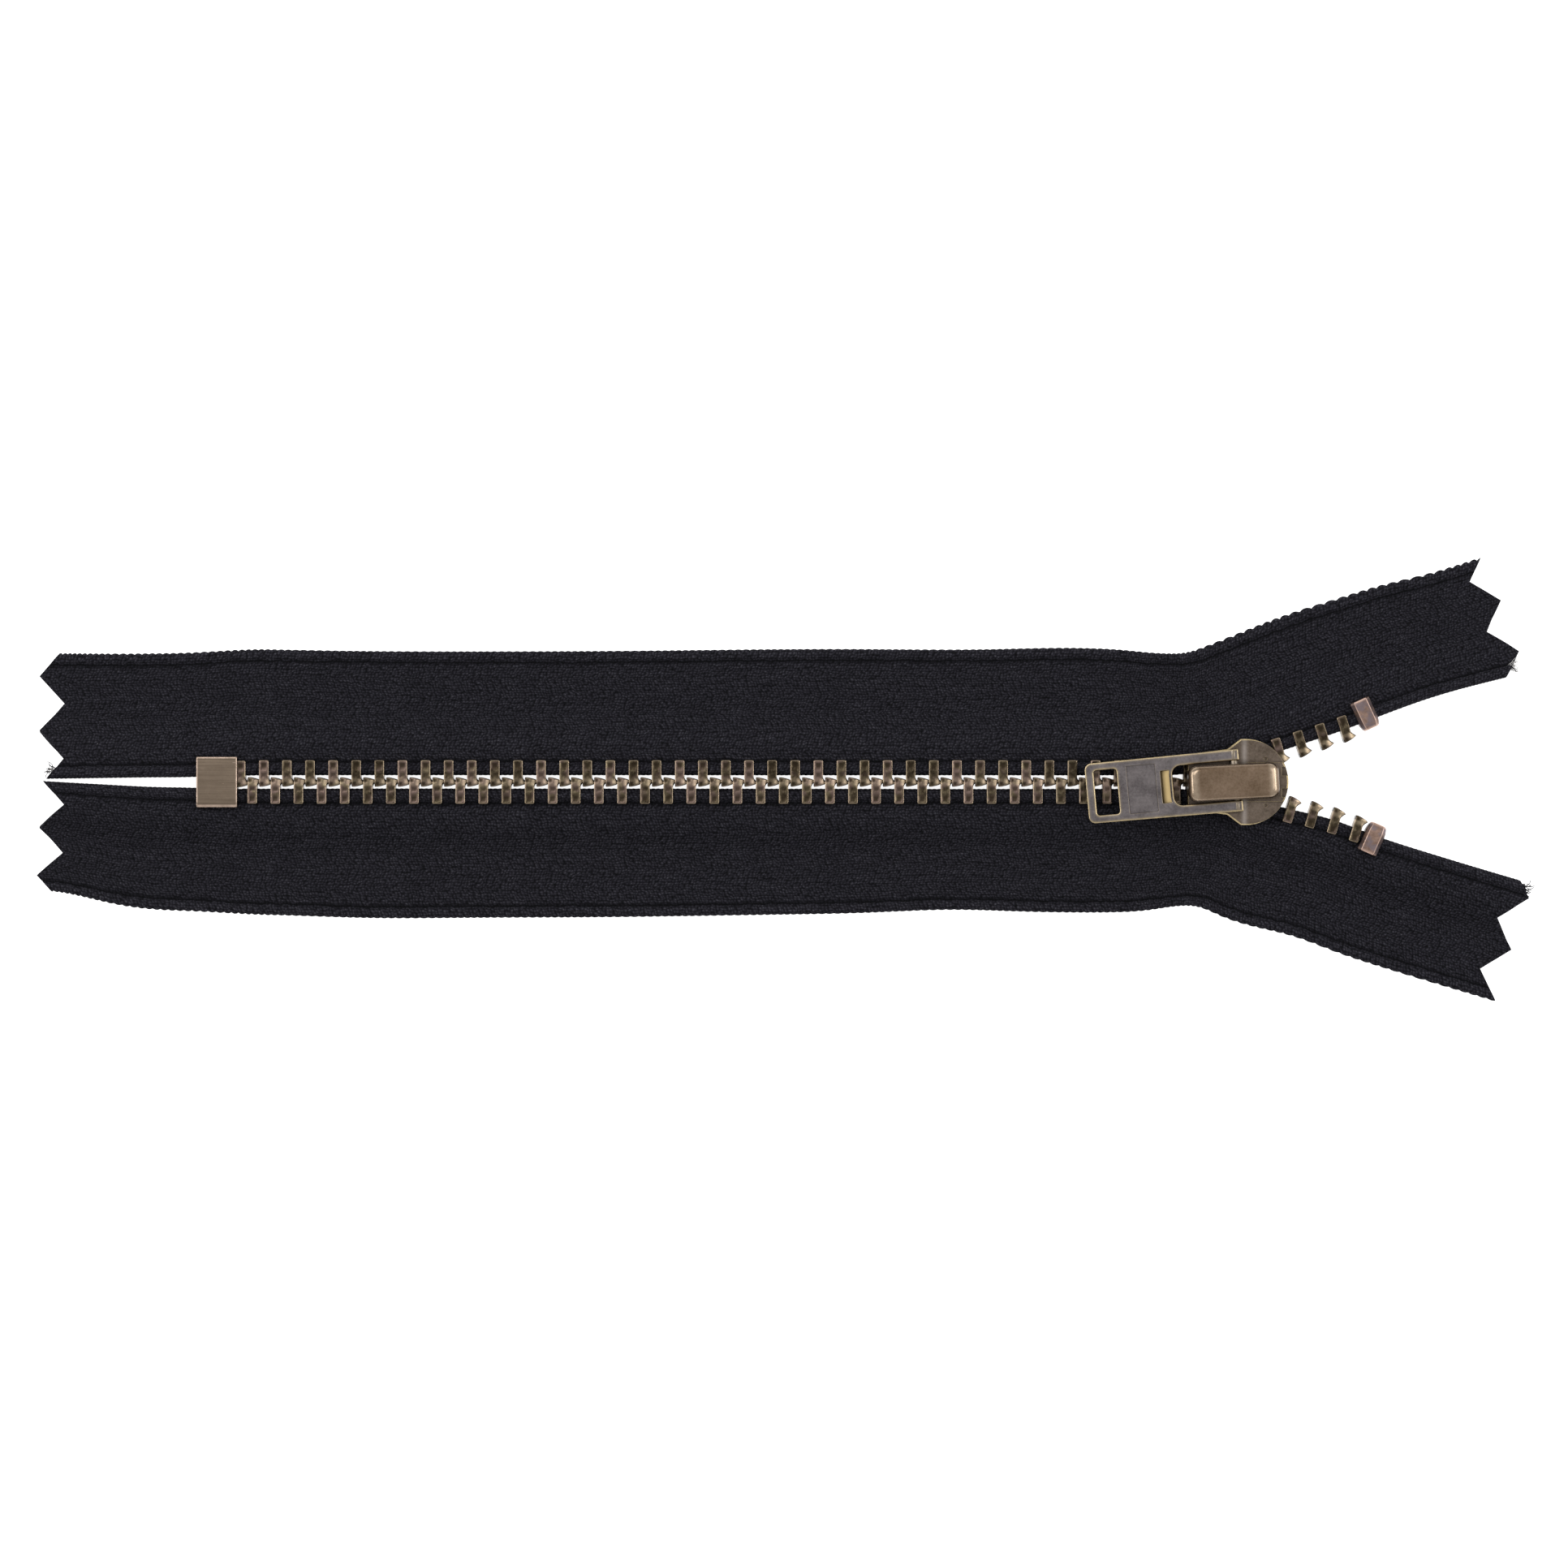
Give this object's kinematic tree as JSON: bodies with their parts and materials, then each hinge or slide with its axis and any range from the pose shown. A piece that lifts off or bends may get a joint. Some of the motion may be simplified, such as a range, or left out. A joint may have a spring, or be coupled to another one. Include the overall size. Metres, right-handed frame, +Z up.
{
  "type": "zipper",
  "caption": "Metal jeans zipper, closed below an auto-lock slider with a flat pull tab and open above it, on black woven tapes with pinked ends.",
  "frame": {"origin": "middle of the bounding box in X and Y, on the surface that the tapes lie on", "axes": "+X along the chain towards the top stops, +Y towards the left tape, +Z up out of the slider's crown"},
  "size_m": [0.1876, 0.0552, 0.0079],
  "materials": {
    "tape": "black woven cotton and polyester tape",
    "core_cord": "twisted filler cord",
    "teeth": "antique brass, worn bright on the edges",
    "stops": "brushed antique brass strip",
    "slider": "satin antique brass",
    "pull_tab": "antique brass, bright on its rims",
    "lock": "plain",
    "spring": "spring leaf"
  },
  "bodies": {
    "root": {"bottom_stop": "stops", "left_tail_tape": "tape", "left_tail_cord": "core_cord", "left_first_tooth": "teeth", "right_tail_tape": "tape", "right_tail_cord": "core_cord", "right_first_tooth": "teeth"},
    "left_side": {"left_side_tape": "tape", "left_side_cord": "core_cord", "left_teeth_1": "teeth", "left_teeth_2": "teeth", "left_teeth_3": "teeth", "left_teeth_4": "teeth", "left_teeth_5": "teeth", "left_teeth_6": "teeth", "left_teeth_7": "teeth"},
    "left_arm": {"left_arm_tape": "tape", "left_arm_cord": "core_cord", "left_open_teeth": "teeth", "left_top_stop": "stops"},
    "right_side": {"right_side_tape": "tape", "right_side_cord": "core_cord", "right_teeth_1": "teeth", "right_teeth_2": "teeth", "right_teeth_3": "teeth", "right_teeth_4": "teeth", "right_teeth_5": "teeth", "right_teeth_6": "teeth", "right_teeth_7": "teeth"},
    "right_arm": {"right_arm_tape": "tape", "right_arm_cord": "core_cord", "right_open_teeth": "teeth", "right_top_stop": "stops"},
    "slider": {"slider_body": "slider", "slider_crown": "slider", "lock_spring": "spring"},
    "pull_tab": {"pull_tab": "pull_tab"},
    "lock_pawl": {"lock_pawl": "lock"}
  },
  "joints": [
    {"name": "slider_travel", "type": "slide", "parent": "root", "child": "slider", "axis": [1, 0, 0], "range_m": [-0.1189, 0], "deforming": ["left_arm_cord", "left_arm_tape", "left_first_tooth", "left_open_teeth", "left_side_cord", "left_side_tape", "left_tail_cord", "left_tail_tape", "left_teeth_1", "left_teeth_2", "left_teeth_3", "left_teeth_4", "left_teeth_5", "left_teeth_6", "left_teeth_7", "right_arm_cord", "right_arm_tape", "right_first_tooth", "right_open_teeth", "right_side_cord", "right_side_tape", "right_tail_cord", "right_tail_tape", "right_teeth_1", "right_teeth_2", "right_teeth_3", "right_teeth_4", "right_teeth_5", "right_teeth_6", "right_teeth_7"]},
    {"name": "left_side_spread", "type": "hinge", "parent": "root", "child": "left_side", "pos_m": [-0.0653, 0.00151, 0.00237], "axis": [0, 0, 1], "range_deg": [0, 17.61], "deforming": ["left_tail_tape", "left_tail_cord", "left_first_tooth", "right_first_tooth", "left_side_tape", "left_side_cord", "left_teeth_1", "left_teeth_2", "left_teeth_3", "left_teeth_4", "left_teeth_5", "left_teeth_6", "left_teeth_7"]},
    {"name": "left_arm_straighten", "type": "hinge", "parent": "left_side", "child": "left_arm", "pos_m": [0.0536, 0.00151, 0.00237], "axis": [0, 0, 1], "range_deg": [-17.61, 0], "deforming": ["left_side_tape", "left_side_cord", "left_teeth_1", "left_teeth_2", "left_teeth_3", "left_teeth_4", "left_teeth_5", "left_teeth_6", "left_teeth_7", "left_arm_tape", "left_arm_cord", "left_open_teeth"]},
    {"name": "right_side_spread", "type": "hinge", "parent": "root", "child": "right_side", "pos_m": [-0.06385, -0.00193, 0.00237], "axis": [0, 0, 1], "range_deg": [-16.81, 0], "deforming": ["right_tail_tape", "right_tail_cord", "left_first_tooth", "right_first_tooth", "right_side_tape", "right_side_cord", "right_teeth_1", "right_teeth_2", "right_teeth_3", "right_teeth_4", "right_teeth_5", "right_teeth_6", "right_teeth_7"]},
    {"name": "right_arm_straighten", "type": "hinge", "parent": "right_side", "child": "right_arm", "pos_m": [0.05505, -0.00193, 0.00237], "axis": [0, 0, 1], "range_deg": [0, 16.81], "deforming": ["right_side_tape", "right_side_cord", "right_teeth_1", "right_teeth_2", "right_teeth_3", "right_teeth_4", "right_teeth_5", "right_teeth_6", "right_teeth_7", "right_arm_tape", "right_arm_cord", "right_open_teeth"]},
    {"name": "pull_tab_swing", "type": "hinge", "parent": "slider", "child": "pull_tab", "pos_m": [0.05654, -0.00021, 0.00575], "axis": [-0.0906, 0.9959, 0], "range_deg": [0, 175]},
    {"name": "lock_pawl_lift", "type": "hinge", "parent": "slider", "child": "lock_pawl", "pos_m": [0.06094, -0.00021, 0.0055], "axis": [0, 1, 0], "range_deg": [0, 4.66], "deforming": ["lock_spring"]}
  ],
  "couplings": [
    {"joint": "left_side_spread", "follows": "slider_travel", "rad_per_m": -2.5835},
    {"joint": "left_arm_straighten", "follows": "slider_travel", "rad_per_m": 2.5835},
    {"joint": "right_side_spread", "follows": "slider_travel", "rad_per_m": 2.4661},
    {"joint": "right_arm_straighten", "follows": "slider_travel", "rad_per_m": -2.4661},
    {"joint": "lock_pawl_lift", "follows": "pull_tab_swing", "ratio": 0.026571}
  ]
}
